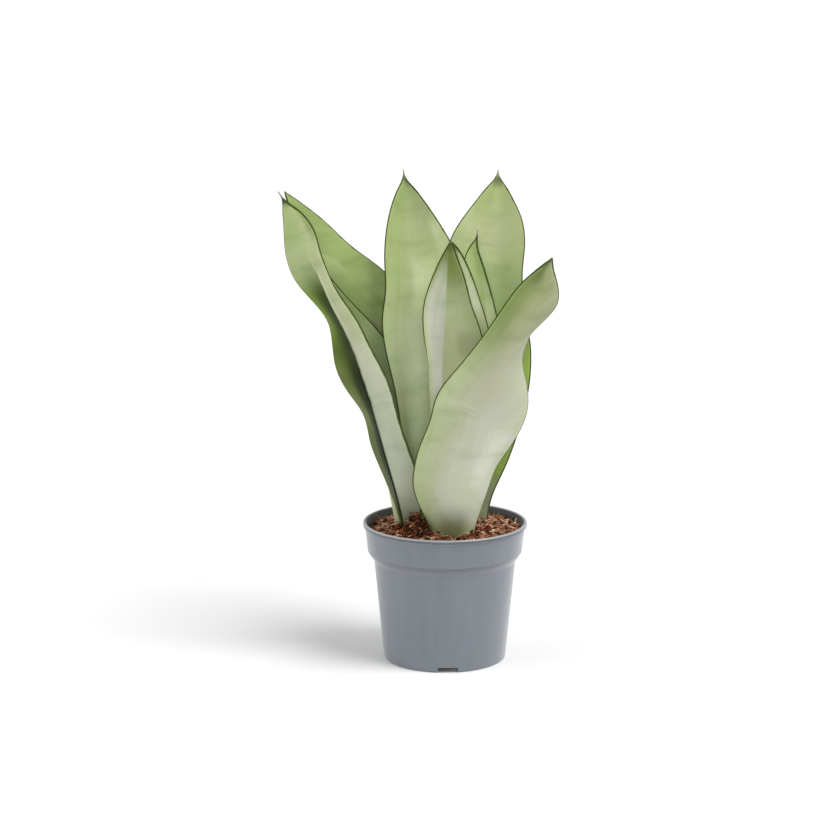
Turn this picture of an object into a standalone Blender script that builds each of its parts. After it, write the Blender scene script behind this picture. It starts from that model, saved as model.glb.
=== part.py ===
"""Potted moonshine snake plant: eight broad waved leaves in one rosette, potting soil and a nursery pot.

Lengths are in millimetres and are scaled to metres where an object is made. The origin is the centre of
the pot's flat base, +Z is up, and the side that faces the viewer is -Y.
"""

import math

import bmesh
import bpy
import numpy as np
from mathutils import Vector, noise

MM = 0.001
MERGE = 0.00001

# Pot: injection-moulded, 12 cm across the rim
POT_HEIGHT = 102.0
RIM_RADIUS = 60.0
RIM_LIP_DROP = 3.4
BAND_TOP_RADIUS = 58.4
BAND_FOOT_RADIUS = 56.5
BAND_FOOT_HEIGHT = 80.5
BODY_TOP_RADIUS = 51.8
BODY_TOP_HEIGHT = 73.5
BASE_RADIUS = 44.6
WALL = 1.4
FOOT_RING_WIDTH = 2.8
CENTRE_DISC_RADIUS = 24.0
CHANNEL_DEPTH = 3.0
CHANNEL_SLOPE = 1.6
POT_STEPS = 60
DRAIN_HOLES = 6
DRAIN_HOLE_RADIUS = 3.8
DRAIN_RING_RADIUS = 34.0
NOTCHES = 3
NOTCH_WIDTH = 13.0
NOTCH_SLOPE = 1.0
NOTCH_TURN = 2.6

# Soil: a lumpy fill that stands a little proud round the leaves
GAP = 0.3
SOIL_EDGE_HEIGHT = 95.4
SOIL_MOUND = 3.6
SOIL_MOUND_RADIUS = 40.0
SOIL_RINGS = 13
SOIL_STEPS = 52
SOIL_LUMP = 2.2
SOIL_LUMP_SIZE = 11.0
HEAP_CENTRE = (-21.0, -20.0)
HEAP_HEIGHT = 7.0
HEAP_RADIUS = 8.0
HOLE_CLEARANCE = 0.45
HOLE_TOP = 135.0

# Leaves
LEAF_ROWS = 27
LEAF_COLUMNS = 8
LEAF_MARGIN_THICKNESS = 1.0
LEAF_ROOT_DEPTH = 17.0
LEAF_ROOT_TAPER = 0.12
LEAF_TIP_CROWDING = 1.35
TIP_FOLD = 1.7
TIP_FOLD_FROM = 0.70
TIP_FOLD_TO = 0.88
SPLAY_DROP = 0.2035
SPLAY_GROWTH = 0.0006
SPLAY_CENTRE = (-18.0, 177.0)

# Each section of a leaf is its height, then (across, deep) of its left margin, midrib and right margin.
# Lean is how far the tip tilts away from the viewer. Splay tilts it further, and keeps the form that the
# leaf shows from the front and a little above. Fold is that of the left and the right half: 1 is a flat
# half with a sharp keel, 2 a round trough, and less than 1 a half that flares beside the keel. Near the
# tip every fold opens to TIP_FOLD. Thickness is that of the midrib at the foot.
LEAVES = {
    "leaf_left_front": {
        "lean": -10.0,
        "splay": -6.0,
        "fold": (0.72, 1.15),
        "thickness": 2.6,
        "colour": (0.49, 0.53, 0.33),
        "sections": [
            (96, (-31, 2), (-29, -6), (-18, -9)),
            (112, (-36, 6), (-32, -10), (-17, -13)),
            (135, (-45, 8), (-38, -13), (-18, -16)),
            (160, (-55, 8), (-45, -15), (-26, -17)),
            (181, (-58.5, 7), (-50, -17), (-33, -17)),
            (198, (-71, 4), (-55, -18), (-37, -17)),
            (213, (-78.5, 3), (-60, -19), (-42, -16)),
            (238, (-81.5, 2), (-69, -20), (-58, -15)),
            (250, (-83.5, 0), (-74, -21), (-63, -16)),
            (260, (-90, -2), (-79, -21), (-69, -16)),
            (280, (-106.5, -8), (-87, -21), (-80, -15)),
            (300, (-113, -14), (-97, -18), (-88, -13)),
            (320, (-114.5, -14), (-104, -15), (-96, -11)),
            (333, (-115, -11), (-110, -12), (-105, -10)),
            (339, (-115, -10), (-114, -10), (-113, -10)),
            (345, (-118.4, -10), (-118, -10), (-117.6, -10)),
        ],
    },
    "leaf_left_back": {
        "lean": 10.0,
        "splay": 14.0,
        "fold": (1.7, 1.7),
        "thickness": 2.4,
        "colour": (0.36, 0.44, 0.23),
        "sections": [
            (96, (-27, 10), (-35, 14), (-20, 23)),
            (112, (-28, 12), (-39, 17), (-18, 26)),
            (135, (-27, 14), (-43, 18), (-12, 29)),
            (160, (-25, 16), (-48, 19), (-8, 30)),
            (200, (-28, 16), (-57, 18), (-6, 30)),
            (222, (-36, 15), (-63, 17), (-9, 28)),
            (240, (-48, 13), (-70, 16), (-15, 26)),
            (262, (-68, 8), (-81, 13), (-28, 23)),
            (282, (-84, 4), (-91, 9), (-43, 20)),
            (302, (-96, 1), (-100, 6), (-69, 15)),
            (322, (-107, -2), (-107, 3), (-89, 9)),
            (335, (-113, -2), (-111.5, 0), (-105, 3)),
            (342, (-115.5, 0), (-115, 0), (-114.5, 0)),
        ],
    },
    "leaf_tall_left": {
        "lean": 14.0,
        "splay": 14.0,
        "fold": (2.0, 2.0),
        "thickness": 2.6,
        "colour": (0.43, 0.50, 0.25),
        "sections": [
            (96, (-21, 13), (-9, 18), (6, 17)),
            (115, (-23, 11), (-10, 19), (9, 18)),
            (145, (-29, 8), (-11, 20), (12, 19)),
            (175, (-33, 7), (-12, 20), (13, 19)),
            (200, (-37, 6), (-13, 19), (14, 19)),
            (225, (-43, 5), (-14, 18), (14, 18)),
            (250, (-46, 4), (-15, 17), (14, 17)),
            (270, (-43, 4), (-15, 16), (13, 16)),
            (294, (-44, 3), (-17, 15), (9, 14)),
            (318, (-42, 3), (-21, 12), (-4, 11)),
            (337, (-37, 3), (-26, 8), (-17, 7)),
            (346, (-33, 4), (-28, 6), (-24, 5)),
            (351, (-30, 4), (-29.5, 4), (-29, 4)),
            (357, (-30.4, 3), (-30, 3), (-29.6, 3)),
        ],
    },
    "leaf_tall_right": {
        "lean": 14.0,
        "splay": 20.0,
        "fold": (2.0, 2.0),
        "thickness": 2.6,
        "colour": (0.42, 0.49, 0.23),
        "sections": [
            (96, (9, 21), (22, 20), (31, 9)),
            (115, (12, 23), (26, 23), (33, 10)),
            (140, (12, 26), (30, 28), (45, 14)),
            (165, (9, 28), (32, 30), (54, 17)),
            (200, (4, 28), (32, 31), (62, 18)),
            (225, (1, 27), (31, 31), (63, 17)),
            (255, (0, 25), (29, 29), (58, 16)),
            (282, (1, 23), (29, 26), (56, 15)),
            (304, (3, 21), (30, 24), (58, 14)),
            (320, (12, 18), (33, 21), (56, 14)),
            (337, (25, 16), (37, 17), (48, 14)),
            (346, (32, 14), (38, 15), (43, 14)),
            (351, (37.5, 14), (38, 14), (38.5, 14)),
            (356, (37.8, 13), (38.2, 13), (38.6, 13)),
        ],
    },
    "leaf_heart_front": {
        "lean": 0.0,
        "splay": -1.0,
        "fold": (1.1, 1.15),
        "thickness": 2.2,
        "colour": (0.47, 0.53, 0.35),
        "sections": [
            (96, (-11, -14), (-2, -2), (10, -8)),
            (115, (-10, -13), (-2, -1), (13, -7)),
            (145, (-10, -13), (-3, 0), (19, -5)),
            (175, (-10, -13), (-4, 1), (24, -3)),
            (205, (-11, -13), (-3, 2), (28, -2)),
            (225, (-13, -12), (-2, 3), (29, -1)),
            (245, (-16, -11), (-1, 3), (25, -1)),
            (261, (-16, -9), (0, 3), (19, -1)),
            (281, (-10, -6), (1, 2), (14, -1)),
            (298, (-2, -2), (2, 1), (8, 0)),
            (308, (3.8, 0), (4.2, 0), (4.6, 0)),
        ],
    },
    "leaf_heart_back": {
        "lean": 2.0,
        "splay": 3.0,
        "fold": (1.6, 1.6),
        "thickness": 2.0,
        "colour": (0.53, 0.60, 0.36),
        "sections": [
            (96, (-6, 2), (5, 6), (15, 1)),
            (115, (-6, 3), (6, 7), (18, 2)),
            (145, (-6, 4), (8, 8), (24, 3)),
            (175, (-6, 5), (10, 9), (30, 4)),
            (205, (-6, 5), (11, 9), (35, 4)),
            (230, (-6, 6), (11, 9), (34, 5)),
            (249, (-5, 6), (11, 9), (30, 5)),
            (265, (-4, 6), (10, 9), (25, 5)),
            (285, (-1, 6), (9, 8), (18, 5)),
            (299, (3, 5), (7, 7), (11, 5)),
            (306, (5, 5), (5.4, 5), (5.8, 5)),
        ],
    },
    "leaf_heart_right": {
        "lean": 4.0,
        "splay": 8.0,
        "fold": (1.6, 1.6),
        "thickness": 2.0,
        "colour": (0.42, 0.50, 0.23),
        "sections": [
            (96, (4, 10), (13, 12), (21, 6)),
            (115, (5, 11), (14, 14), (24, 8)),
            (145, (6, 12), (18, 16), (31, 10)),
            (175, (8, 12), (22, 17), (38, 12)),
            (205, (9, 12), (25, 17), (43, 13)),
            (230, (10, 12), (26, 17), (42, 13)),
            (250, (11, 11), (26, 16), (38, 12)),
            (270, (12, 11), (25, 15), (33, 11)),
            (290, (13, 11), (22, 13), (27, 10)),
            (303, (18, 9), (21, 10), (23, 9)),
            (309, (22.6, 8), (23, 8), (23.4, 8)),
            (314, (22.6, 8), (23, 8), (23.4, 8)),
        ],
    },
    "leaf_front_right": {
        "lean": -14.0,
        "splay": -14.0,
        "fold": (1.9, 1.9),
        "thickness": 3.0,
        "colour": (0.56, 0.58, 0.44),
        "sections": [
            (96, (-9, -19), (5, -27), (20, -18)),
            (112, (-16, -20), (5, -31), (24.5, -20)),
            (135, (-24, -22), (7, -35), (32, -22)),
            (150, (-22, -24), (10, -37), (37, -22)),
            (160, (-20, -25), (13, -38), (45, -21)),
            (182, (-11, -26), (22, -40), (57, -18)),
            (203, (-6, -27), (30, -40), (61, -16)),
            (223, (10, -26), (37, -39), (54, -14)),
            (244, (26, -26), (47, -38), (58, -22)),
            (256, (34, -26), (54, -37), (69, -29)),
            (268, (42, -25), (61, -35), (78, -32)),
            (283, (53, -24), (68, -32), (78, -32)),
            (294, (65, -25), (71, -28), (75, -29)),
            (301, (73.5, -26), (74, -26), (74.5, -26)),
        ],
    },
}

COLLECTION_NAME = "potted_snake_plant"
POT_COLOUR = (0.235, 0.262, 0.290)
SOIL_COLOUR = (0.150, 0.050, 0.028)


def clear_scene():
    for item in list(bpy.data.objects):
        bpy.data.objects.remove(item, do_unlink=True)


def make_collection(name):
    collection = bpy.data.collections.new(name)
    bpy.context.scene.collection.children.link(collection)
    return collection


def make_material(name, colour, roughness):
    material = bpy.data.materials.new(name)
    material.use_nodes = True
    shader = material.node_tree.nodes["Principled BSDF"]
    shader.inputs["Base Color"].default_value = (*colour, 1.0)
    shader.inputs["Roughness"].default_value = roughness
    shader.inputs["Metallic"].default_value = 0.0
    material.diffuse_color = (*colour, 1.0)
    return material


def add_object(name, mesh, collection):
    item = bpy.data.objects.new(name, mesh)
    collection.objects.link(item)
    return item


def hide_cutter(cutter):
    cutter.hide_render = True
    cutter.display_type = "WIRE"


def cut(item, cutter, name):
    boolean = item.modifiers.new(name, "BOOLEAN")
    boolean.operation = "DIFFERENCE"
    boolean.solver = "EXACT"
    boolean.object = cutter


def evaluated_mesh(item):
    graph = bpy.context.evaluated_depsgraph_get()
    return bpy.data.meshes.new_from_object(item.evaluated_get(graph))


def turned_object(name, profile, steps, collection):
    """A profile of (radius, height) points in mm, turned round the Z axis."""
    mesh = bpy.data.meshes.new(name)
    points = [(radius * MM, 0.0, height * MM) for radius, height in profile]
    mesh.from_pydata(points, [(i, i + 1) for i in range(len(points) - 1)], [])
    item = add_object(name, mesh, collection)
    screw = item.modifiers.new("turn", "SCREW")
    screw.axis = "Z"
    screw.steps = steps
    screw.render_steps = steps
    screw.use_merge_vertices = True
    screw.merge_threshold = MERGE
    return item


def outer_radius(height):
    """Radius of the pot's outer wall, below the lip."""
    heights = [0.0, BODY_TOP_HEIGHT, BAND_FOOT_HEIGHT, POT_HEIGHT - RIM_LIP_DROP]
    radii = [BASE_RADIUS, BODY_TOP_RADIUS, BAND_FOOT_RADIUS, BAND_TOP_RADIUS]
    return float(np.interp(height, heights, radii))


def pot_profile():
    lip_foot = POT_HEIGHT - RIM_LIP_DROP
    channel_inner = CENTRE_DISC_RADIUS + CHANNEL_SLOPE
    channel_outer = BASE_RADIUS - FOOT_RING_WIDTH
    floor_corner = CHANNEL_DEPTH + WALL
    outside = [
        (RIM_RADIUS - 0.9, POT_HEIGHT),
        (RIM_RADIUS - 0.2, POT_HEIGHT - 0.4),
        (RIM_RADIUS, POT_HEIGHT - 1.2),
        (RIM_RADIUS - 0.2, lip_foot + 0.9),
        (BAND_TOP_RADIUS, lip_foot),
        (BAND_FOOT_RADIUS, BAND_FOOT_HEIGHT),
        (BODY_TOP_RADIUS, BODY_TOP_HEIGHT),
        (BASE_RADIUS + 0.1, 1.2),
        (BASE_RADIUS - 0.6, 0.0),
    ]
    underside = [
        (channel_outer + 0.3, 0.0),
        (channel_outer, CHANNEL_DEPTH),
        (channel_inner, CHANNEL_DEPTH),
        (CENTRE_DISC_RADIUS, 0.0),
        (0.0, 0.0),
    ]
    inside = [
        (0.0, WALL),
        (CENTRE_DISC_RADIUS - 0.6, WALL),
        (channel_inner - 0.6, floor_corner),
        (outer_radius(floor_corner) - WALL, floor_corner),
        (BODY_TOP_RADIUS - WALL, BODY_TOP_HEIGHT + 0.4),
        (BAND_FOOT_RADIUS - WALL, BAND_FOOT_HEIGHT + 0.4),
        (BAND_TOP_RADIUS - WALL, lip_foot),
        (RIM_RADIUS - 2.3, POT_HEIGHT - 1.0),
        (RIM_RADIUS - 1.8, POT_HEIGHT - 0.2),
        (RIM_RADIUS - 0.9, POT_HEIGHT),
    ]
    return outside + underside + inside


def drain_hole_cutter(angle, collection, name):
    mesh = bpy.data.meshes.new(name)
    shape = bmesh.new()
    bmesh.ops.create_cone(
        shape,
        cap_ends=True,
        segments=16,
        radius1=DRAIN_HOLE_RADIUS * MM,
        radius2=DRAIN_HOLE_RADIUS * MM,
        depth=4.0 * WALL * MM,
    )
    shape.to_mesh(mesh)
    shape.free()
    cutter = add_object(name, mesh, collection)
    place = Vector((DRAIN_RING_RADIUS * math.cos(angle), DRAIN_RING_RADIUS * math.sin(angle), 0.0))
    place.z = CHANNEL_DEPTH + WALL / 2
    cutter.location = place * MM
    hide_cutter(cutter)
    return cutter


def notch_cutter(angle, collection, name):
    """A low trapezium through the foot ring, wider at the floor than at its top."""
    mesh = bpy.data.meshes.new(name)
    shape = bmesh.new()
    bmesh.ops.create_cube(shape, size=1.0)
    length = 4.0 * FOOT_RING_WIDTH
    height = 2.0 * CHANNEL_DEPTH
    for vertex in shape.verts:
        half_width = NOTCH_WIDTH / 2 - (NOTCH_SLOPE if vertex.co.z > 0 else -NOTCH_SLOPE)
        vertex.co = Vector(
            (
                BASE_RADIUS - FOOT_RING_WIDTH / 2 + vertex.co.x * length,
                math.copysign(half_width, vertex.co.y),
                vertex.co.z * height,
            )
        ) * MM
    shape.to_mesh(mesh)
    shape.free()
    cutter = add_object(name, mesh, collection)
    cutter.rotation_euler.z = angle
    hide_cutter(cutter)
    return cutter


def make_pot(parts, cutters):
    pot = turned_object("pot", pot_profile(), POT_STEPS, parts)
    for i in range(DRAIN_HOLES):
        angle = 2 * math.pi * (i + 0.5) / DRAIN_HOLES
        cut(pot, drain_hole_cutter(angle, cutters, f"drain_hole_{i + 1}"), f"drain {i + 1}")
    for i in range(NOTCHES):
        angle = -math.pi / 2 + math.radians(NOTCH_TURN) + 2 * math.pi * i / NOTCHES
        cut(pot, notch_cutter(angle, cutters, f"foot_notch_{i + 1}"), f"notch {i + 1}")
    pot.data.materials.append(make_material("pot_polypropylene", POT_COLOUR, 0.45))
    return pot


def smooth_rail(knots, values, places):
    """A smooth curve through the values at the knots, read at the places."""
    values = np.asarray(values, float)
    slopes = np.gradient(values, knots, axis=0)
    index = np.clip(np.searchsorted(knots, places, side="right") - 1, 0, len(knots) - 2)
    span = (knots[index + 1] - knots[index])[:, None]
    t = (places - knots[index])[:, None] / span
    start, end = values[index], values[index + 1]
    return (
        (2 * t**3 - 3 * t**2 + 1) * start
        + (t**3 - 2 * t**2 + t) * span * slopes[index]
        + (3 * t**2 - 2 * t**3) * end
        + (t**3 - t**2) * span * slopes[index + 1]
    )


def leaf_rails(leaf, grow):
    """Left margin, midrib and right margin as arrays of points, one array for each section."""
    foot = leaf["sections"][0][0]
    top = leaf["sections"][-1][0]
    rails = []
    for height, *points in leaf["sections"]:
        bend = ((height - foot) / (top - foot)) ** 2
        splay = leaf["splay"] * bend
        larger = 1 + SPLAY_GROWTH * splay
        deeper = leaf["lean"] * bend + splay
        middle, level = SPLAY_CENTRE
        lower = level + (height - level) * larger - SPLAY_DROP * splay
        rails.append([(middle + (x - middle) * larger, y + deeper, lower) for x, y in points])
    rails = np.array(rails, float)
    root = rails[0].copy()
    middle = root.mean(axis=0)
    root = middle + (root - middle) * (1 - LEAF_ROOT_TAPER)
    root[:, 2] = foot - LEAF_ROOT_DEPTH - grow
    rails = np.concatenate([root[None], rails])
    for side in (0, 2):
        outward = rails[:, side] - rails[:, 1]
        rails[:, side] += outward / np.linalg.norm(outward, axis=1)[:, None] * grow
    return rails


def leaf_point(left, midrib, right, across, along, folds):
    """A point of the blade's middle surface. Across runs from 0 at the left margin to 1, and along from 0 at
    the root to 1 at the tip.
    """
    opened = float(np.interp(along, (TIP_FOLD_FROM, TIP_FOLD_TO), (0.0, 1.0)))
    fold = folds[0 if across < 0.5 else 1]
    fold += (TIP_FOLD - fold) * opened
    chord = left + (right - left) * across
    bow = midrib - (left + right) / 2
    return chord + bow * (1 - abs(2 * across - 1) ** fold)


def leaf_solid(name, leaf, collection, grow=0.0, top=math.inf):
    """A leaf: a grid whose points are moved onto its middle surface, split alike on both faces, then
    thickened. A grown one, cut off at the top, is the hole that the leaf stands in.
    """
    rails = leaf_rails(leaf, grow)
    steps = np.linalg.norm(np.diff(rails[:, 1], axis=0), axis=1)
    knots = np.concatenate([[0.0], np.cumsum(steps)])
    share = 1 - (1 - np.arange(LEAF_ROWS + 1) / LEAF_ROWS) ** LEAF_TIP_CROWDING
    curves = smooth_rail(knots, rails.reshape(len(rails), -1), share * knots[-1]).reshape(-1, 3, 3)

    mesh = bpy.data.meshes.new(name)
    shape = bmesh.new()
    bmesh.ops.create_grid(shape, x_segments=LEAF_COLUMNS, y_segments=LEAF_ROWS, size=0.5)
    item = add_object(name, mesh, collection)
    group = item.vertex_groups.new(name="thickness")
    weights = shape.verts.layers.deform.verify()
    thickest = leaf["thickness"] + 2 * grow
    for vertex in shape.verts:
        across = vertex.co.x + 0.5
        row = round((vertex.co.y + 0.5) * LEAF_ROWS)
        left, midrib, right = curves[row]
        point = leaf_point(left, midrib, right, across, share[row], leaf["fold"])
        fleshy = (1 - abs(2 * across - 1) ** 2.2) * (1 - share[row]) ** 0.6
        margin = LEAF_MARGIN_THICKNESS + 2 * grow
        vertex.co = Vector(point) * MM
        vertex[weights][group.index] = (margin + (thickest - margin) * fleshy) / thickest
    above = [vertex for vertex in shape.verts if vertex.co.z > top * MM]
    bmesh.ops.delete(shape, geom=above, context="VERTS")
    shape.to_mesh(mesh)
    shape.free()

    item.modifiers.new("split", "TRIANGULATE").quad_method = "FIXED"
    solidify = item.modifiers.new("thickness", "SOLIDIFY")
    solidify.thickness = thickest * MM
    solidify.offset = 0.0
    solidify.vertex_group = group.name
    solidify.thickness_vertex_group = 0.0
    return item


def make_leaf(name, leaf, parts):
    blade = leaf_solid(name, leaf, parts)
    blade.data.shade_smooth()
    blade.data.materials.append(make_material(name + "_skin", leaf["colour"], 0.42))
    return blade


def leaf_hole_cutter(name, leaf, cutters):
    cutter = leaf_solid("hole_" + name, leaf, cutters, grow=HOLE_CLEARANCE, top=HOLE_TOP)
    hide_cutter(cutter)
    return cutter


def soil_height(x, y):
    """Height of the soil's surface in mm: a low mound, crumbly lumps and one heap by the left leaf."""
    radius = math.hypot(x, y)
    mound = SOIL_MOUND * math.exp(-((radius / SOIL_MOUND_RADIUS) ** 4))
    lumps = SOIL_LUMP * noise.noise(Vector((x, y, 3.0)) / SOIL_LUMP_SIZE)
    lumps += 0.5 * SOIL_LUMP * noise.noise(Vector((x, y, 40.0)) / SOIL_LUMP_SIZE * 2.3)
    near_heap = math.hypot(x - HEAP_CENTRE[0], y - HEAP_CENTRE[1]) / HEAP_RADIUS
    heap = HEAP_HEIGHT * math.exp(-(near_heap**2))
    return SOIL_EDGE_HEIGHT + mound + lumps + heap


def soil_profile():
    """From the middle of the top, out over the surface, down inside the pot's wall and back to the axis."""
    edge = outer_radius(SOIL_EDGE_HEIGHT) - WALL - GAP
    surface = [(edge * i / SOIL_RINGS, SOIL_EDGE_HEIGHT) for i in range(SOIL_RINGS + 1)]
    floor = CHANNEL_DEPTH + WALL + GAP
    channel_inner = CENTRE_DISC_RADIUS + CHANNEL_SLOPE
    side = [
        (BAND_FOOT_RADIUS - WALL - GAP, BAND_FOOT_HEIGHT + 0.4),
        (BODY_TOP_RADIUS - WALL - GAP, BODY_TOP_HEIGHT + 0.2),
        (outer_radius(floor) - WALL - 2 * GAP, floor),
        (channel_inner - 0.6 - GAP, floor),
        (CENTRE_DISC_RADIUS - 0.6 - GAP, WALL + GAP),
        (0.0, WALL + GAP),
    ]
    return surface + side


def make_soil(parts, cutters):
    blank = turned_object("soil_blank", soil_profile(), SOIL_STEPS, cutters)
    mesh = evaluated_mesh(blank)
    bpy.data.objects.remove(blank)
    mesh.name = "soil"
    shape = bmesh.new()
    shape.from_mesh(mesh)
    edge = outer_radius(SOIL_EDGE_HEIGHT) - WALL - GAP
    for vertex in shape.verts:
        x, y, z = vertex.co / MM
        if z > SOIL_EDGE_HEIGHT - 1.0:
            inward = min(1.0, (edge - math.hypot(x, y)) / 4.0)
            vertex.co.z = (z + (soil_height(x, y) - z) * inward) * MM
    bmesh.ops.triangulate(shape, faces=shape.faces)
    bmesh.ops.recalc_face_normals(shape, faces=shape.faces)
    shape.to_mesh(mesh)
    shape.free()
    soil = add_object("soil", mesh, parts)
    for name, leaf in LEAVES.items():
        cut(soil, leaf_hole_cutter(name, leaf, cutters), "hole " + name)
    soil.data.materials.append(make_material("potting_soil", SOIL_COLOUR, 0.9))
    return soil


def main():
    clear_scene()
    parts = make_collection(COLLECTION_NAME)
    cutters = make_collection("cutters")
    make_pot(parts, cutters)
    make_soil(parts, cutters)
    for name, leaf in LEAVES.items():
        make_leaf(name, leaf, parts)


main()
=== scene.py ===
# Potted moonshine snake plant: the looks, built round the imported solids
import math
import random

import bpy
import numpy as np
from mathutils import Matrix, Vector
from mathutils.bvhtree import BVHTree


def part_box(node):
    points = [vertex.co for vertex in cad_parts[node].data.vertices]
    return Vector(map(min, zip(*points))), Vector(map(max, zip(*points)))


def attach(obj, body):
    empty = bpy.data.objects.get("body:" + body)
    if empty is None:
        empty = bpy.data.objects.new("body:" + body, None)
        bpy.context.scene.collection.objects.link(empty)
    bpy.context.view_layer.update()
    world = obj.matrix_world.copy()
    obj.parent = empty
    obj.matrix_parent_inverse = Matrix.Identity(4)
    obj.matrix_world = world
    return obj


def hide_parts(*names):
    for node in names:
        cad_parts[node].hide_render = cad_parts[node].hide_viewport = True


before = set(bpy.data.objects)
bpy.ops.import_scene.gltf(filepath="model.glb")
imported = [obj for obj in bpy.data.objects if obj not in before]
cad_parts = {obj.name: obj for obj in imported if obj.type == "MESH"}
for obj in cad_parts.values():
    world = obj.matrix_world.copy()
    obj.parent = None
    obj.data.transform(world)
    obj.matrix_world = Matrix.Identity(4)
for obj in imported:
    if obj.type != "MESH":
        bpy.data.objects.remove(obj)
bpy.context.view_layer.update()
print("frame loaded")

mm = 0.001


# Small helpers

def hexColour(code):
    # sRGB hex to the linear colour that a socket takes
    parts = [int(code[i:i + 2], 16) / 255 for i in (1, 3, 5)]
    linear = [p / 12.92 if p <= 0.04045 else ((p + 0.055) / 1.055) ** 2.4 for p in parts]
    return (*linear, 1.0)


def addNode(tree, kind, settings=None, inputs=None, links=None, stops=()):
    # Adds a node, sets its properties, sockets and colour stops, and links its inputs to other outputs
    node = tree.nodes.new(kind)
    for name, value in (settings or {}).items():
        setattr(node, name, value)
    for name, value in (inputs or {}).items():
        node.inputs[name].default_value = value
    for name, source in (links or {}).items():
        tree.links.new(source, node.inputs[name])
    if stops:
        elements = node.color_ramp.elements
        while len(elements) < len(stops):
            elements.new(1.0)
        for element, (place, code) in zip(elements, stops):
            element.position = place
            element.color = hexColour(code)
    return node


def paintOver(tree, under, code, strength, ranges, blend="MIX", easing="SMOOTHSTEP", limit=None):
    # Lays a colour over what is under it, as far as every range is met. A range is an output and the two
    # values between which the colour fades in, and a limit is an output that is one more share.
    shares = []
    full = strength
    for source, low, high in ranges:
        met = addNode(tree, "ShaderNodeMapRange", {"interpolation_type": easing}, {1: low, 2: high, 4: full},
                      {0: source})
        shares.append(met.outputs[0])
        full = 1.0
    if limit is not None:
        shares.append(limit)
    factor = shares[0]
    for share in shares[1:]:
        both = addNode(tree, "ShaderNodeMath", {"operation": "MULTIPLY"}, links={0: factor, 1: share})
        factor = both.outputs[0]
    layer = addNode(tree, "ShaderNodeMix", {"data_type": "RGBA", "blend_type": blend}, {7: hexColour(code)},
                    {0: factor, 6: under})
    return layer.outputs[2]


def newMaterial(name):
    material = bpy.data.materials.new(name)
    material.use_nodes = True
    return material, material.node_tree, material.node_tree.nodes["Principled BSDF"]


def makeActive(piece):
    bpy.ops.object.select_all(action="DESELECT")
    piece.select_set(True)
    bpy.context.view_layer.objects.active = piece


def copyOfNode(nodeName, pieceName):
    # A piece with its own copy of a solid's mesh, its loose triangles merged
    piece = bpy.data.objects.new(pieceName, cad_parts[nodeName].data.copy())
    bpy.context.scene.collection.objects.link(piece)
    piece.data.materials.clear()
    makeActive(piece)
    bpy.ops.object.mode_set(mode="EDIT")
    bpy.ops.mesh.select_all(action="SELECT")
    bpy.ops.mesh.remove_doubles(threshold=0.01 * mm)
    bpy.ops.object.mode_set(mode="OBJECT")
    return piece


def applyModifiers(piece):
    makeActive(piece)
    for modifier in list(piece.modifiers):
        bpy.ops.object.modifier_apply(modifier=modifier.name)


def settle(piece, slotName, *replaced):
    # Fixes a finished piece to the part's one body
    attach(piece, "root")
    if replaced:
        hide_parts(*replaced)


# Camera and light: the view of the photograph, a little above the rim

viewSet = {
    "target": (-18.2, 0.0, 177.2),   # mm, the middle of the picture
    "distance": 1700.0,              # mm
    "elevation": 11.5,               # degrees
    "lens": 100.5,                   # mm
    "sensor": 36.0,                  # mm
}

lightSet = {
    "suns": {                        # energy, spread in degrees, and where it comes from
        "softBox": (2.7, 38.0, (1.0, -0.56, 1.35)),
        "sideFill": (0.95, 60.0, (-0.95, -0.35, 0.20)),
        "frontFill": (0.8, 24.0, (-0.05, -1.0, 0.26)),
    },
    "skyEvenly": 0.24,
    "skySides": 1.30,                # white walls at the left and right
    "skyTurn": (-0.10, 0.26, 0.0),   # more of it from the left and from behind
    "skyline": (0.024, 0.012),       # the heights, as sines, where the floor's white sweep ends and is full
    "floorColour": "#ECECEC",
    "floorGloss": (0.8, 0.2),        # roughness and specular level of matt paint
    "floorSize": 160.0,              # m, past what any view shows
}


def makeCamera():
    data = bpy.data.cameras.new("camera")
    camera = bpy.data.objects.new("camera", data)
    bpy.context.scene.collection.objects.link(camera)
    tilt = math.radians(viewSet["elevation"])
    back = Vector((0.0, -math.cos(tilt), math.sin(tilt)))
    camera.location = (Vector(viewSet["target"]) + back * viewSet["distance"]) * mm
    camera.rotation_euler = (-back).to_track_quat("-Z", "Y").to_euler()
    data.lens = viewSet["lens"]
    data.sensor_width = viewSet["sensor"]
    data.clip_start = 0.05
    data.clip_end = 100.0
    bpy.context.scene.camera = camera


def makeSun(name, energy, spread, comesFrom):
    data = bpy.data.lights.new(name, "SUN")
    data.energy = energy
    data.angle = math.radians(spread)
    sun = bpy.data.objects.new(name, data)
    bpy.context.scene.collection.objects.link(sun)
    sun.rotation_euler = Vector(comesFrom).to_track_quat("Z", "Y").to_euler()


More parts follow.
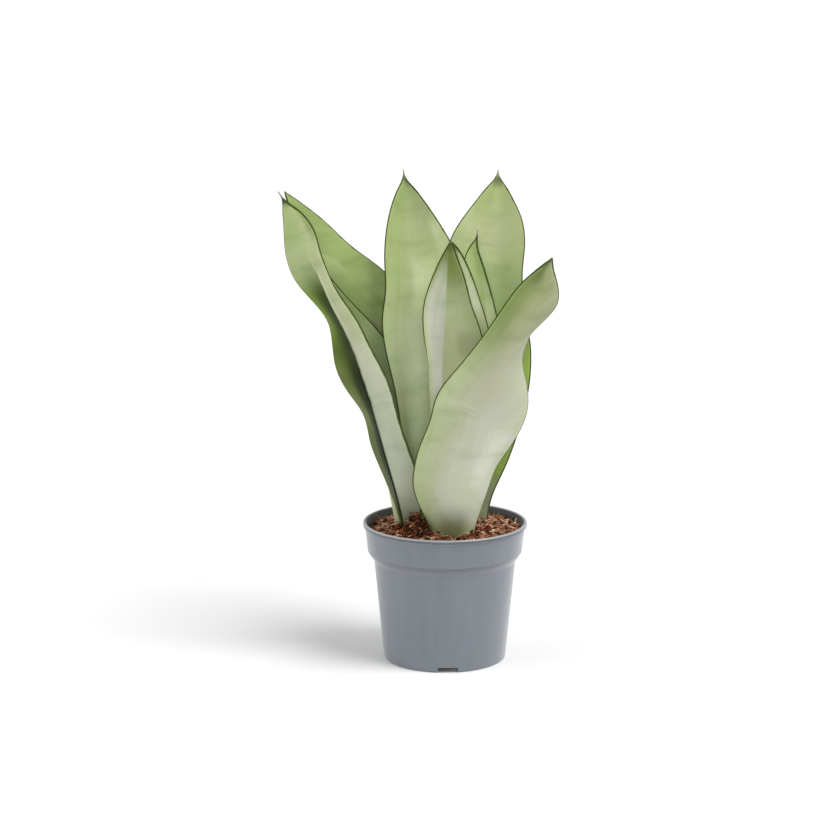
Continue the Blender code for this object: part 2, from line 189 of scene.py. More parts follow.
def makeLights():
    # Three soft suns, and a white sky that is brighter at its sides and meets the floor in a white sweep
    for name, sun in lightSet["suns"].items():
        makeSun(name, *sun)
    world = bpy.data.worlds.new("studio")
    world.use_nodes = True
    tree = world.node_tree
    direction = addNode(tree, "ShaderNodeTexCoord").outputs["Generated"]
    parts = addNode(tree, "ShaderNodeSeparateXYZ", links={0: direction})
    sides = addNode(tree, "ShaderNodeMath", {"operation": "POWER"}, {1: 2.0}, {0: parts.outputs["X"]})
    turned = addNode(tree, "ShaderNodeVectorMath", {"operation": "DOT_PRODUCT"}, {1: lightSet["skyTurn"]},
                     {0: direction})
    base = addNode(tree, "ShaderNodeMath", {"operation": "ADD"}, {1: lightSet["skyEvenly"]},
                   {0: turned.outputs["Value"]})
    sky = addNode(tree, "ShaderNodeMath", {"operation": "MULTIPLY_ADD"}, {1: lightSet["skySides"]},
                  {0: sides.outputs[0], 2: base.outputs[0]})
    top, full = lightSet["skyline"]
    sweep = addNode(tree, "ShaderNodeMapRange", {"interpolation_type": "SMOOTHSTEP"}, {1: top, 2: full},
                    {0: parts.outputs["Z"]})
    strength = addNode(tree, "ShaderNodeMath", {"operation": "MAXIMUM"},
                       links={0: sky.outputs[0], 1: sweep.outputs[0]})
    background = tree.nodes["Background"]
    background.inputs["Color"].default_value = (1.0, 1.0, 1.0, 1.0)
    tree.links.new(strength.outputs[0], background.inputs["Strength"])
    bpy.context.scene.world = world
    bpy.context.scene.view_settings.view_transform = "Standard"


def makeFloor():
    bpy.ops.object.select_all(action="DESELECT")
    bpy.ops.mesh.primitive_plane_add(size=lightSet["floorSize"], location=(0.0, 0.0, 0.0))
    floor = bpy.context.active_object
    floor.name = "studioFloor"
    material, _, shader = newMaterial("paintedStudioFloor")
    shader.inputs["Base Color"].default_value = hexColour(lightSet["floorColour"])
    roughness, specular = lightSet["floorGloss"]
    shader.inputs["Roughness"].default_value = roughness
    shader.inputs["Specular IOR Level"].default_value = specular
    floor.data.materials.append(material)


# Leaves: fleshy blades with a waxy skin, each built from its solid's own form

leafSet = {
    "soilLevel": 96.0,         # mm
    "rimAngle": 77.0,          # degrees, a blade's margins are sharper than this
    "keelAngle": 35.0,         # degrees, and the keel of a keeled blade is sharper than this
    "quadAngle": 50.0,         # degrees at most between two triangles that become one face
    "crease": 0.75,            # how sharp margins and keels stay
    "levels": 3,               # of subdivision
    "rowGap": 2.0,             # mm, less than from one row of points to the next
    "capPoints": 10,           # a blade's end rows have this many sharp points or more
    "grip": 1.5,               # mm around a place, for the points that a push takes hold of
    "midrib": (0.45, 0.55),    # shares across between which the margin's line takes its right width
    # Noise on the blade: the size of its grain across and along in mm, and its detail
    "patterns": {
        "bands": (52.5, 15.0, 3.0),
        "clouds": (17.0, 34.0, 2.0),
        "streaks": (5.0, 130.0, 2.0),
        "veins": (1.3, 60.0, 2.0),
    },
    # Layers of wax: soft cross bands drawn out across the blade, broad clouds, streaks that run up it,
    # and fine veins. Each is its pattern, where it begins and is full, its strength, colour and blend.
    # They deepen or pale what is under them, so a wing darkened by painted shade stays dark.
    "layers": [
        ("bands", 0.50, 0.72, 0.20, "#97AA90", "MULTIPLY"),
        ("bands", 0.48, 0.30, 0.14, "#DAD1F8", "OVERLAY"),
        ("clouds", 0.50, 0.75, 0.22, "#D2DEAE", "MULTIPLY"),
        ("clouds", 0.50, 0.28, 0.16, "#CBC4E9", "OVERLAY"),
        ("streaks", 0.50, 0.70, 0.07, "#B4C09C", "MULTIPLY"),
        ("streaks", 0.50, 0.32, 0.055, "#D2CCE4", "OVERLAY"),
        ("veins", 0.45, 0.75, 0.05, "#5F7440", "MIX"),
    ],
}

# Each leaf is built from its node. Stops are its colours from the foot (0) to the tip (1). A tint is a
# colour, its strength and the ranges where it fades in: x goes from the left margin (0) over the midrib
# (0.5) to the right margin (1), y from the soil (0) to the tip (1), and side tells how far the surface
# faces the back, to keep a tint off it. Margin is the width of the dark line at the left and the right,
# and spine the length of the dry point at the tip, in mm. Keel says whether the midrib is an edge. Fade
# is where the left line comes in upwards, as a y range and how much of it shows below and above that.
# Pushes move the right margin. A folded blade has a fold further out than its left margin.
# Some stops and tints paint light and shade into a blade's colour, and each such place says so.
leftHalf = ("x", 0.506, 0.494)   # the range of a tint that ends at the midrib
leafLooks = {
    "leafLeftFront": {
        "node": "leaf_left_front",
        "pushes": [(240.0, 2.6, 27.0), (262.0, 2.2, 21.0), (320.0, 2.4, 24.0)],
        "margin": (0.35, 1.0),
        "keel": True,
        "spine": 6.0,
        "stops": [(0.0, "#5A6044"), (0.05, "#83886F"), (0.14, "#A2A792"), (0.45, "#A0A490"),
                  (0.75, "#9EA481"), (1.0, "#919A69")],
        "tints": [
            # The next three tints paint the left wing's light and shade: darker and greener as painted shade
            # where it turns from the light, paler low down towards its margin as painted light.
            ("#627928", 0.98, [leftHalf, ("y", 0.82, 0.68)]),
            ("#DCF28A", 0.95, [leftHalf, ("x", 0.46, 0.10), ("y", 0.54, 0.39)]),
            ("#8EA458", 0.60, [leftHalf, ("y", 0.34, 0.24)]),
            # Painted shadow: the next three tints darken the left wing towards the keel, and both sides of
            # the keel lower down, where the keel shades them.
            ("#1A2404", 0.95, [leftHalf, ("x", 0.04, 0.44), ("y", 0.84, 0.66), ("y", 0.44, 0.57)]),
            ("#141A00", 1.00, [("x", 0.53, 0.51), ("x", 0.25, 0.45), ("y", 0.60, 0.46)]),
            ("#0C1000", 0.95, [("x", 0.55, 0.52), ("x", 0.26, 0.40), ("y", 0.36, 0.26)]),
            ("#94A56E", 0.60, [leftHalf, ("y", 0.70, 0.84)]),
            # Painted shade: the next tint darkens the hollow of the right wing under the tip, and the one
            # after it lays a painted shadow on the right wing beside the keel.
            ("#5A6A34", 0.80, [("x", 0.60, 0.92), ("y", 0.80, 0.90)]),
            ("#1C2208", 0.85, [("x", 0.56, 0.50), ("y", 0.66, 0.42)]),
            ("#7C845C", 0.35, [("x", 0.54, 0.60), ("y", 0.52, 0.58), ("y", 0.84, 0.77)]),
        ],
    },
    "leafLeftBack": {
        "node": "leaf_left_back",
        "folded": True,
        "margin": (0.5, 0.45),
        "keel": False,
        "spine": 3.0,
        "stops": [(0.0, "#C0C6A8"), (0.07, "#B0B894"), (0.12, "#8E9C74"), (0.3, "#94A17A"),
                  (0.6, "#A2B275"), (0.72, "#8F9F64"), (0.85, "#93A366"), (1.0, "#82925A")],
        "tints": [
            ("#75805F", 0.50, [("x", 0.45, 0.05), ("y", 0.85, 0.60)]),
            ("#A9B882", 0.60, [("x", 0.52, 0.42), ("y", 0.71, 0.75), ("y", 0.84, 0.79)]),
            ("#7A8C4E", 0.40, [("x", 0.60, 0.52), ("y", 0.56, 0.60), ("y", 0.72, 0.66)]),
        ],
    },
    "leafTallLeft": {
        "node": "leaf_tall_left",
        "margin": (0.45, 0.45),
        "keel": False,
        "spine": 5.0,
        # Painted light: the lower stops are paled where the leaves in front shade the blade.
        "stops": [(0.0, "#C7D7A8"), (0.25, "#DBE9BC"), (0.45, "#D6E1B9"), (0.62, "#AAB386"),
                  (0.8, "#9FA879"), (1.0, "#859363")],
        "tints": [
            ("#8EA062", 0.45, [("x", 0.35, 0.05)]),
            ("#96A76C", 0.3, [("x", 0.65, 0.95)]),
            # Painted light: the next two tints pale the parts that the heart's leaves shade.
            ("#C3CE9E", 0.75, [("x", 0.30, 0.44), ("y", 0.52, 0.60), ("y", 0.78, 0.69)]),
            ("#C3CE9E", 0.60, [("x", 0.66, 0.84), ("y", 0.70, 0.76), ("y", 0.88, 0.82)]),
            ("#87965A", 0.35, [("x", 0.36, 0.26), ("y", 0.64, 0.72)]),
        ],
    },
    "leafTallRight": {
        "node": "leaf_tall_right",
        "margin": (0.45, 0.45),
        "keel": False,
        "spine": 5.0,
        # The pale foot is partly the blade's own colour and partly painted light where the front leaf shades
        # it.
        "stops": [(0.0, "#E6E9D0"), (0.07, "#DCE0C2"), (0.13, "#C2C99E"), (0.20, "#A6B282"),
                  (0.45, "#A8B67C"), (0.62, "#ADC185"), (0.8, "#B4BB8E"), (1.0, "#9CA770")],
        "tints": [
            ("#A8B97E", 0.30, [("x", 0.40, 0.10)]),
            ("#829058", 0.35, [("x", 0.52, 0.80), ("y", 0.50, 0.68)]),
            # Painted light: the next tint lights the lower right wing, kept off the back.
            ("#B8D86C", 0.95, [("x", 0.62, 0.84), ("y", 0.60, 0.40), ("y", 0.09, 0.17),
                               ("side", 0.10, -0.05)]),
            ("#8C9860", 0.35, [("x", 0.50, 0.30), ("y", 0.88, 0.94)]),
        ],
    },
    "leafHeartFront": {
        "node": "leaf_heart_front",
        "margin": (0.22, 0.6),
        "fade": (0.50, 0.72, 0.15, 1.0),
        "keel": True,
        "spine": 1.2,
        "stops": [(0.0, "#B9C2A2"), (0.35, "#BAC29E"), (0.65, "#A2A981"), (0.80, "#9DA67E"),
                  (0.91, "#707D43"), (1.0, "#5A6637")],
        "tints": [
            # Painted light: the next two tints pale the left half, the side that faces the light.
            ("#B9BAAB", 0.88, [leftHalf, ("x", 0.0, 0.22), ("y", 0.97, 0.78)]),
            ("#A5A898", 0.85, [leftHalf, ("x", 0.0, 0.22), ("y", 0.97, 0.80), ("y", 0.53, 0.66)]),
            ("#7F9260", 0.35, [("x", 0.75, 0.98)]),
            ("#7A8261", 0.50, [("x", 0.62, 0.76), ("y", 0.57, 0.62), ("y", 0.72, 0.65)]),
        ],
    },
    "leafHeartBack": {
        "node": "leaf_heart_back",
        "margin": (0.35, 0.55),
        "keel": False,
        "spine": 1.2,
        # Painted light: the stops are paled, most near the top, where the blade lies in the shade of the
        # leaves around it.
        "stops": [(0.0, "#DCE4C6"), (0.55, "#9CAA78"), (0.70, "#B0BE8C"), (0.80, "#F0F6D8"),
                  (1.0, "#BCCA90")],
        "tints": [("#B4C484", 0.3, [("x", 0.8, 0.98)])],
    },
    "leafHeartRight": {
        "node": "leaf_heart_right",
        "margin": (0.3, 0.55),
        "keel": False,
        "spine": 3.0,
        "stops": [(0.0, "#A6B380"), (0.5, "#BCC49C"), (0.85, "#B3C287"), (1.0, "#8D9F5E")],
        "tints": [
            ("#A6B676", 0.3, [("x", 0.7, 0.98)]),
            ("#DDE8BE", 0.50, [("x", 0.58, 0.75), ("y", 0.64, 0.70), ("y", 0.86, 0.78)]),
        ],
    },
    "leafFrontRight": {
        "node": "leaf_front_right",
        "pushes": [(237.0, 1.8, 15.0), (204.0, -2.4, 18.0)],
        "margin": (0.95, 0.6),
        "keel": False,
        "spine": 1.5,
        "stops": [(0.0, "#8E9563"), (0.06, "#B1B69F"), (0.3, "#AEB19D"), (0.6, "#9EA089"),
                  (0.85, "#91966C"), (1.0, "#7E885C")],
        "tints": [
            ("#3E3C08", 0.62, [("x", 0.06, 0.34), ("x", 0.94, 0.60), ("y", 0.11, 0.02)]),
            ("#A2B07C", 0.60, [("x", 0.40, 0.02), ("y", 0.9, 0.6)]),
            ("#6A7C40", 0.85, [("x", 0.58, 0.05), ("y", 0.52, 0.80)]),
            ("#9CA189", 0.40, [("x", 0.55, 0.95), ("y", 0.40, 0.60)]),
            ("#C6CAB8", 0.45, [("x", 0.58, 0.78), ("x", 0.96, 0.84), ("y", 0.16, 0.25), ("y", 0.40, 0.30)]),
            ("#8A9066", 0.35, [("x", 0.45, 0.18), ("y", 0.50, 0.34)]),
            ("#4E5A2A", 0.65, [("x", 0.55, 0.30), ("y", 0.90, 0.95)]),
        ],
    },
}


def lineDistance(points, line):
    # How far each point lies from a line of points, how far along the line its nearest place is, and how
    # far it lies inside the edge of the rim, whose half thickness is the line's fourth number
    start = line[:-1, :3]
    step = line[1:, :3] - start
    length = np.linalg.norm(step, axis=1)
    reached = np.concatenate([[0.0], np.cumsum(length)])
    offset = points[:, None, :] - start[None]
    share = np.clip((offset * step[None]).sum(2) / (length**2)[None], 0.0, 1.0)
    gap = np.linalg.norm(offset - share[:, :, None] * step[None], axis=2)
    nearest = gap.argmin(axis=1)
    rows = np.arange(len(points))
    along = reached[nearest] + share[rows, nearest] * length[nearest]
    half = np.interp(along, reached, line[:, 3])
    return gap[rows, nearest], along, np.maximum(gap[rows, nearest] - half, 0.0)


def selectSharp(piece, angle):
    # Selects the edges that are sharper than the angle, and stays in edit mode
    makeActive(piece)
    bpy.ops.object.mode_set(mode="EDIT")
    bpy.ops.mesh.select_mode(type="EDGE")
    bpy.ops.mesh.select_all(action="DESELECT")
    bpy.ops.mesh.edges_select_sharp(sharpness=math.radians(angle))


def bladeRows(points):
    # The points of a blade in rows from the foot to the tip, each a list of indices
    rows = []
    for index in points[:, 2].argsort():
        if not rows or points[index, 2] - points[rows[-1][0], 2] > leafSet["rowGap"]:
            rows.append([])
        rows[-1].append(index)
    return rows


def marginLines(piece, folded):
    # The left and right margins of a merged blade, foot to tip: the middle of the front and the back
    # point at either end of each row's sharp edges, as a keel may be sharp too, and half their distance.
    # Where a blade is folded over at the left, its fold lies further out than its left margin. The pairs
    # of points at the left come as well.
    selectSharp(piece, leafSet["rimAngle"])
    bpy.ops.object.mode_set(mode="OBJECT")
    points = np.array([v.co[:] for v in piece.data.vertices]) / mm
    sharp = np.array([v.index for v in piece.data.vertices if v.select])
    left, right, pairs = [], [], {}
    for row in bladeRows(points[sharp]):
        across = sharp[row][points[sharp[row], 0].argsort()]
        atLeft = across[-4:-2] if folded and len(across) < leafSet["capPoints"] else across[:2]
        for line, pair in ((left, points[atLeft]), (right, points[across[-2:]])):
            line.append([*pair.mean(axis=0), np.linalg.norm(pair[0] - pair[1]) / 2])
        pairs[atLeft[0]] = atLeft[1]
    return np.array(left), np.array(right), pairs


def acrossShares(piece, points, shares, pairs):
    # From 0 at the left margin over 0.5 at the midrib to 1, told by going round each row of points from
    # its left pair: along the front to the right margin, and back behind. Where a row is no plain ring,
    # the plain share stays.
    across = shares.copy()
    rows = bladeRows(points)
    rowOf = np.empty(len(points), int)
    for number, row in enumerate(rows):
        rowOf[row] = number
    beside = [[] for _ in points]
    for edge in piece.data.edges:
        a, b = edge.vertices
        if rowOf[a] == rowOf[b]:
            beside[a].append(b)
            beside[b].append(a)
    for row in rows:
        first = next((i for i in row if i in pairs), None)
        if first is None or pairs[first] not in beside[first] or any(len(beside[i]) != 2 for i in row):
            continue
        ring = [pairs[first], first]
        while len(ring) <= len(row):
            ring.append(next(i for i in beside[ring[-1]] if i != ring[-2]))
        for place, index in enumerate(ring[1:]):
            across[index] = min(place, len(row) - 1 - place) / (len(row) // 2 - 1)
    return across


def mapBlade(piece, folded):
    # Stores on each point where it lies on the blade: mm from the left margin, mm along it and mm from
    # the nearest margin, and the shares across and along. Patterns follow these.
    left, right, pairs = marginLines(piece, folded)
    points = np.array([v.co[:] for v in piece.data.vertices]) / mm
    toLeft, alongLeft, insideLeft = lineDistance(points, left)
    toRight, alongRight, insideRight = lineDistance(points, right)
    share = toLeft / (toLeft + toRight + 1e-6)   # never divided by nothing
    along = alongLeft * (1 - share) + alongRight * share
    length = along.max()
    order = points[:, 2].argsort()
    start = np.interp(leafSet["soilLevel"], points[order, 2], along[order])
    risen = np.clip((along - start) / (length - start), 0, 1)
    stored = {
        "bladeMap": (toLeft, along, np.minimum(insideLeft, insideRight)),
        "bladeShare": (acrossShares(piece, points, share, pairs), risen, risen),
    }
    for name, values in stored.items():
        attribute = piece.data.attributes.new(name, "FLOAT_VECTOR", "POINT")
        attribute.data.foreach_set("vector", np.stack(values, axis=1).astype(np.float32).ravel())
    return float(length)


def leafMaterial(name, look, length):
    # Snake plant leaf: a firm fleshy blade under a waxy cuticle, satin, with fine lengthwise veins, soft
    # cross bands, a thin dark margin and a dry point
    material, tree, shader = newMaterial(name)
    where = addNode(tree, "ShaderNodeAttribute", {"attribute_name": "bladeMap"}).outputs["Vector"]
    shares = addNode(tree, "ShaderNodeAttribute", {"attribute_name": "bladeShare"}).outputs["Vector"]
    facing = addNode(tree, "ShaderNodeNewGeometry").outputs["Normal"]
    place = addNode(tree, "ShaderNodeSeparateXYZ", links={0: where})
    share = addNode(tree, "ShaderNodeSeparateXYZ", links={0: shares})
    normal = addNode(tree, "ShaderNodeSeparateXYZ", links={0: facing})
    axes = {"x": share.outputs["X"], "y": share.outputs["Y"], "side": normal.outputs["Y"]}

    body = addNode(tree, "ShaderNodeValToRGB", links={0: axes["y"]}, stops=look["stops"])
    colour = body.outputs["Color"]
    for code, strength, ranges in look["tints"]:
        met = [(axes[axis], low, high) for axis, low, high in ranges]
        colour = paintOver(tree, colour, code, strength, met)

    patterns = {}
    for pattern, (acrossSize, alongSize, detail) in leafSet["patterns"].items():
        scaled = addNode(tree, "ShaderNodeVectorMath", {"operation": "MULTIPLY"},
                         {1: (1 / acrossSize, 1 / alongSize, 0.0)}, {0: where})
        noise = addNode(tree, "ShaderNodeTexNoise", links={"Vector": scaled.outputs[0]},
                        inputs={"Scale": 1.0, "Detail": detail, "Roughness": 0.55})
        patterns[pattern] = noise.outputs[0]
    for pattern, low, high, strength, code, blend in leafSet["layers"]:
        colour = paintOver(tree, colour, code, strength, [(patterns[pattern], low, high)], blend)

    # Margin: a dark line at the very edge, with a yellower rim beside it, both told in the line's widths
    fromMidrib, toMidrib = leafSet["midrib"]
    leftWidth, rightWidth = look["margin"]
    width = addNode(tree, "ShaderNodeMapRange", {"interpolation_type": "SMOOTHSTEP"},
                    {1: fromMidrib, 2: toMidrib, 3: leftWidth, 4: rightWidth}, {0: axes["x"]})
    widths = addNode(tree, "ShaderNodeMath", {"operation": "DIVIDE"},
                     links={0: place.outputs["Z"], 1: width.outputs[0]}).outputs[0]
    colour = paintOver(tree, colour, "#A9B86E", 0.22, [(widths, 3.2, 1.6)])
    shown = None
    if "fade" in look:
        low, high, least, most = look["fade"]
        atRight = addNode(tree, "ShaderNodeMapRange", {"interpolation_type": "SMOOTHSTEP"},
                          {1: fromMidrib, 2: toMidrib}, {0: axes["x"]})
        higher = addNode(tree, "ShaderNodeMapRange", {"interpolation_type": "SMOOTHSTEP"},
                         {1: low, 2: high, 3: least, 4: most}, {0: axes["y"]})
        shown = addNode(tree, "ShaderNodeMath", {"operation": "MAXIMUM"},
                        links={0: atRight.outputs[0], 1: higher.outputs[0]}).outputs[0]
    colour = paintOver(tree, colour, "#27340F", 0.93, [(widths, 1.45, 0.70)], limit=shown)

    # Tip: a dark shoulder under the pale dry point
    fromTip = addNode(tree, "ShaderNodeMath", {"operation": "SUBTRACT"}, {0: length},
                      {1: place.outputs["Y"]}).outputs[0]
    spine = look["spine"]
    colour = paintOver(tree, colour, "#3F4828", 0.70, [(fromTip, spine + 8.0, spine + 1.5)])
    colour = paintOver(tree, colour, "#8B8778", 0.9, [(fromTip, spine + 0.6, spine - 1.0)])
    tree.links.new(colour, shader.inputs["Base Color"])

    # Waxy skin: satin, a little uneven
    rough = addNode(tree, "ShaderNodeMapRange", {"interpolation_type": "SMOOTHSTEP"},
                    {1: 0.3, 2: 0.7, 3: 0.46, 4: 0.58}, {0: patterns["clouds"]})
    tree.links.new(rough.outputs[0], shader.inputs["Roughness"])
    shader.inputs["IOR"].default_value = 1.42
    shader.inputs["Specular IOR Level"].default_value = 0.06
    bump = addNode(tree, "ShaderNodeBump", inputs={"Strength": 0.2, "Distance": 0.05 * mm},
                   links={"Height": patterns["veins"]})
    swell = addNode(tree, "ShaderNodeBump", inputs={"Strength": 0.2, "Distance": 0.5 * mm},
                    links={"Height": patterns["bands"], "Normal": bump.outputs[0]})
    tree.links.new(swell.outputs[0], shader.inputs["Normal"])
    return material


def pushMargin(piece, pushes):
    # Draws places of the right margin outwards, the blade around them following softly. Each push is the
    # place's height, how far it moves and how far around it the blade follows, in mm.
    for height, step, reach in pushes:
        right = marginLines(piece, False)[1]
        centre = Vector(right[np.abs(right[:, 2] - height).argmin(), :3]) * mm
        bpy.ops.object.mode_set(mode="EDIT")
        bpy.ops.mesh.select_mode(type="VERT")
        bpy.ops.mesh.select_all(action="DESELECT")
        bpy.ops.object.mode_set(mode="OBJECT")
        for vertex in piece.data.vertices:
            vertex.select = (vertex.co - centre).length < leafSet["grip"] * mm
        bpy.ops.object.mode_set(mode="EDIT")
        bpy.ops.transform.translate(value=(step * mm, 0.0, 0.0), use_proportional_edit=True,
                                    proportional_edit_falloff="SMOOTH", proportional_size=reach * mm)
        bpy.ops.object.mode_set(mode="OBJECT")


def makeLeaf(pieceName, look):
    piece = copyOfNode(look["node"], pieceName)
    bpy.ops.object.mode_set(mode="EDIT")
    bpy.ops.mesh.select_all(action="SELECT")
    bpy.ops.mesh.tris_convert_to_quads(face_threshold=math.radians(leafSet["quadAngle"]),
                                       shape_threshold=math.pi)
    bpy.ops.object.mode_set(mode="OBJECT")
    pushMargin(piece, look.get("pushes", []))
    length = mapBlade(piece, look.get("folded", False))
    selectSharp(piece, leafSet["keelAngle"] if look["keel"] else leafSet["rimAngle"])
    bpy.ops.transform.edge_crease(value=leafSet["crease"])
    bpy.ops.object.mode_set(mode="OBJECT")
    subdivision = piece.modifiers.new("smooth", "SUBSURF")
    subdivision.levels = leafSet["levels"]
    subdivision.render_levels = leafSet["levels"]
    applyModifiers(piece)
    bpy.ops.object.shade_smooth()
    piece.data.materials.append(leafMaterial(pieceName + "WaxySkin", look, length))
    settle(piece, "leaf_blade", look["node"])
    return piece


# Pot: one thin-walled injection moulding, its sizes in mm

potLow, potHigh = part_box("pot")

potSet = {
    "steps": 128,                    # round the axis
    "height": (potHigh.z - potLow.z) / mm,
    "rimRadius": (potHigh.x - potLow.x) / 2 / mm,
    "wall": 1.4,
    "lipHeight": 3.4,
    "lipWidth": 2.2,
    "bandTopRadius": 58.4,
    "bandFoot": (56.5, 80.5),        # radius and height
    "bodyTop": (51.8, 73.5),
    "baseRadius": 44.7,
    "footRing": 2.8,                 # how wide the ring is that the pot stands on
    "discRadius": 24.0,              # of the middle of the base, which stands on the floor too
    "channel": 3.0,                  # how high the base rises between ring and disc
    "channelSlope": 1.6,
    "drainHoles": (6, 3.8, 34.0),    # how many, radius, distance from the axis
    "notches": (3, 14.6, 3.9, 2.6),  # how many, width, height, degrees turned
    "notchDepth": 12.0,              # along the radius, past the ring on both sides
    "notchRounding": 0.8,
    "drillDepth": 8.0,               # more than the base is thick
    "drillSteps": 32,
    "smoothAngle": 30.0,             # degrees, edges sharper than this stay sharp
}


def potProfile():
    # Outline of the pot's section from the lip, down the outside and back up the inside.
    # Each corner is its radius, its height and the radius of its rounding.
    top, rim, wall = potSet["height"], potSet["rimRadius"], potSet["wall"]
    bandTop, lipFoot = potSet["bandTopRadius"], top - potSet["lipHeight"]
    bandRadius, bandHeight = potSet["bandFoot"]
    bodyRadius, bodyHeight = potSet["bodyTop"]
    base, channel = potSet["baseRadius"], potSet["channel"]
    ring, disc = base - potSet["footRing"], potSet["discRadius"]
    slopeEnd = disc + potSet["channelSlope"]
    floor = channel + wall
    innerBase = base + (bodyRadius - base) * floor / bodyHeight - wall
    inset, rise = 0.6, 0.4   # how the inside lies from the outside's corners, besides the wall
    outside = [
        (rim, top, 1.0), (rim, lipFoot + 0.6, 0.6), (bandTop, lipFoot, 0.5),
        (bandRadius, bandHeight, 1.2), (bodyRadius, bodyHeight, 1.6), (base, 0.0, 1.3),
        (ring, 0.0, 0.3), (ring, channel, 0.4), (slopeEnd, channel, 0.5), (disc, 0.0, 0.3),
    ]
    inside = [
        (disc - inset, wall, 0.4), (slopeEnd - inset, floor, 0.5), (innerBase, floor, 1.2),
        (bodyRadius - wall, bodyHeight + rise, 1.4), (bandRadius - wall, bandHeight + rise, 1.2),
        (bandTop - wall, lipFoot, 0.8), (rim - potSet["lipWidth"], top, 0.7),
    ]
    return outside, inside


def rounded(corners, arcSteps=4):
    # The corners joined by straight runs, each rounded by an arc
    points = [Vector(corners[0][:2])]
    for before, here, after in zip(corners, corners[1:], corners[2:]):
        corner = Vector(here[:2])
        toBefore = (Vector(before[:2]) - corner).normalized()
        toAfter = (Vector(after[:2]) - corner).normalized()
        half = toBefore.angle(toAfter) / 2
        reach = here[2] / math.tan(half)
        centre = corner + (toBefore + toAfter).normalized() * here[2] / math.sin(half)
        first = corner + toBefore * reach - centre
        last = corner + toAfter * reach - centre
        for i in range(arcSteps + 1):
            turn = first.lerp(last, i / arcSteps).normalized() * here[2]
            points.append(centre + turn)
    points.append(Vector(corners[-1][:2]))
    return points


def turnRings(points):
    # Extrudes the selected ring of edges down the points of a profile, and closes it on the axis
    radius, height = points[0]
    for nextRadius, nextHeight in points[1:]:
        bpy.ops.mesh.extrude_edges_move()
        share = nextRadius / radius
        bpy.ops.transform.resize(value=(share, share, 1.0), center_override=(0.0, 0.0, 0.0))
        bpy.ops.transform.translate(value=(0.0, 0.0, (nextHeight - height) * mm))
        radius, height = nextRadius, nextHeight
    bpy.ops.mesh.edge_face_add()


def cutWith(piece, cutter):
    boolean = piece.modifiers.new("cut", "BOOLEAN")
    boolean.operation = "DIFFERENCE"
    boolean.solver = "EXACT"
    boolean.object = cutter
    applyModifiers(piece)
    bpy.data.objects.remove(cutter, do_unlink=True)


def turnedPot():
    # The wall grows from a ring on top of the lip, once down the outside and once down the inside
    outside, inside = potProfile()
    lip = rounded([*inside[-2:], *outside[:2]])
    middle = len(lip) // 2
    halves = (
        lip[middle:-1] + rounded(outside)[1:],
        lip[middle:0:-1] + rounded(inside[::-1])[1:],
    )
    steps = potSet["steps"]
    radius, height = lip[middle]
    bpy.ops.object.select_all(action="DESELECT")
    bpy.ops.mesh.primitive_circle_add(vertices=steps, radius=radius * mm, location=(0, 0, height * mm))
    pot = bpy.context.active_object
    pot.name = "nurseryPot"
    bpy.ops.object.transform_apply(location=True, rotation=True, scale=True)
    bpy.ops.object.mode_set(mode="EDIT")
    for half in halves:
        bpy.ops.mesh.select_all(action="DESELECT")
        bpy.ops.object.mode_set(mode="OBJECT")
        for edge in pot.data.edges[:steps]:
            edge.select = True
        bpy.ops.object.mode_set(mode="EDIT")
        turnRings(half)
    bpy.ops.mesh.select_all(action="SELECT")
    bpy.ops.mesh.remove_doubles(threshold=0.001 * mm)
    bpy.ops.mesh.normals_make_consistent(inside=False)
    bpy.ops.object.mode_set(mode="OBJECT")
    return pot


def cutDrainHoles(pot):
    count, radius, distance = potSet["drainHoles"]
    for i in range(count):
        turn = 2 * math.pi * (i + 0.5) / count
        place = (distance * mm * math.cos(turn), distance * mm * math.sin(turn), potSet["channel"] * mm)
        bpy.ops.mesh.primitive_cylinder_add(vertices=potSet["drillSteps"], radius=radius * mm,
                                            depth=potSet["drillDepth"] * mm, location=place)
        cutWith(pot, bpy.context.active_object)


def cutNotches(pot):
    # Each notch goes through the ring that the pot stands on
    count, width, height, turned = potSet["notches"]
    ringMiddle = (potSet["baseRadius"] - potSet["footRing"] / 2) * mm
    for i in range(count):
        turn = -math.pi / 2 + math.radians(turned) + 2 * math.pi * i / count
        place = (ringMiddle * math.cos(turn), ringMiddle * math.sin(turn), 0.0)
        bpy.ops.mesh.primitive_cube_add(size=1.0, location=place, rotation=(0.0, 0.0, turn))
        notch = bpy.context.active_object
        notch.scale = (potSet["notchDepth"] * mm, width * mm, 2 * height * mm)
        bpy.ops.object.transform_apply(location=False, rotation=False, scale=True)
        bevel = notch.modifiers.new("round", "BEVEL")
        bevel.width = potSet["notchRounding"] * mm
        bevel.segments = 3
        applyModifiers(notch)
        cutWith(pot, notch)


def makePot():
    pot = turnedPot()
    cutDrainHoles(pot)
    cutNotches(pot)
    makeActive(pot)
    bpy.ops.object.shade_smooth_by_angle(angle=math.radians(potSet["smoothAngle"]))
    pot.data.materials.append(potMaterial())
    settle(pot, "pot_plastic", "pot")
    return pot


